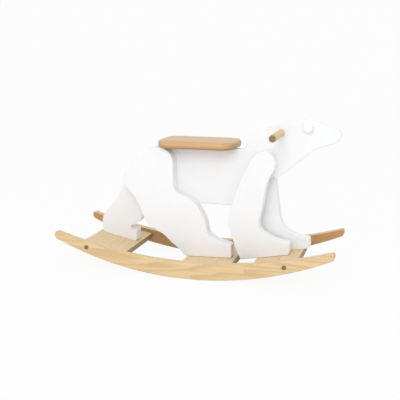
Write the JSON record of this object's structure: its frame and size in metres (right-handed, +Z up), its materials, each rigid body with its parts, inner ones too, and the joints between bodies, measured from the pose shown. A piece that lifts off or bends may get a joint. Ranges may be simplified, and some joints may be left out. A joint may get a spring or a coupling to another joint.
{
  "type": "rocking animal toy",
  "caption": "Rocking polar bear toy of painted boards in a walking pose, with a wooden seat, a round handle through the neck and two curved runners.",
  "frame": {"origin": "on the floor under the middle of the runners, on the centre plane", "axes": "+X to the bear's nose, +Y to its left side, +Z up"},
  "size_m": [0.88, 0.3156, 0.4771],
  "materials": {
    "white_paint": "satin white paint",
    "tan_wood": "satin varnish",
    "pale_wood": "satin varnish",
    "dowel_wood": "raw",
    "screw_steel": "dark"
  },
  "bodies": {
    "root": {"body": "white_paint", "ear_dowel": "dowel_wood", "ear_left": "white_paint", "ear_right": "white_paint", "foot_screw_fore_left_front": "screw_steel", "foot_screw_fore_left_rear": "screw_steel", "foot_screw_fore_right_front": "screw_steel", "foot_screw_fore_right_rear": "screw_steel", "foot_screw_hind_left_front": "screw_steel", "foot_screw_hind_left_rear": "screw_steel", "foot_screw_hind_right_front": "screw_steel", "foot_screw_hind_right_rear": "screw_steel", "handle": "tan_wood", "haunch_dowel_lower": "dowel_wood", "haunch_dowel_upper": "dowel_wood", "haunch_left": "white_paint", "haunch_right": "white_paint", "runner_left": "tan_wood", "runner_right": "tan_wood", "runner_screw_front_left": "screw_steel", "runner_screw_front_right": "screw_steel", "runner_screw_rear_left": "screw_steel", "runner_screw_rear_right": "screw_steel", "seat": "tan_wood", "seat_dowel_front": "dowel_wood", "seat_dowel_rear": "dowel_wood", "shoulder_dowel_lower": "dowel_wood", "shoulder_dowel_upper": "dowel_wood", "shoulder_left": "white_paint", "shoulder_right": "white_paint", "slat_dowel_front_1_left": "dowel_wood", "slat_dowel_front_1_right": "dowel_wood", "slat_dowel_middle_1_left": "dowel_wood", "slat_dowel_middle_1_right": "dowel_wood", "slat_dowel_middle_2_left": "dowel_wood", "slat_dowel_middle_2_right": "dowel_wood", "slat_dowel_rear_1_left": "dowel_wood", "slat_dowel_rear_1_right": "dowel_wood", "slat_front": "pale_wood", "slat_middle": "pale_wood", "slat_rear": "pale_wood"}
  },
  "joints": []
}
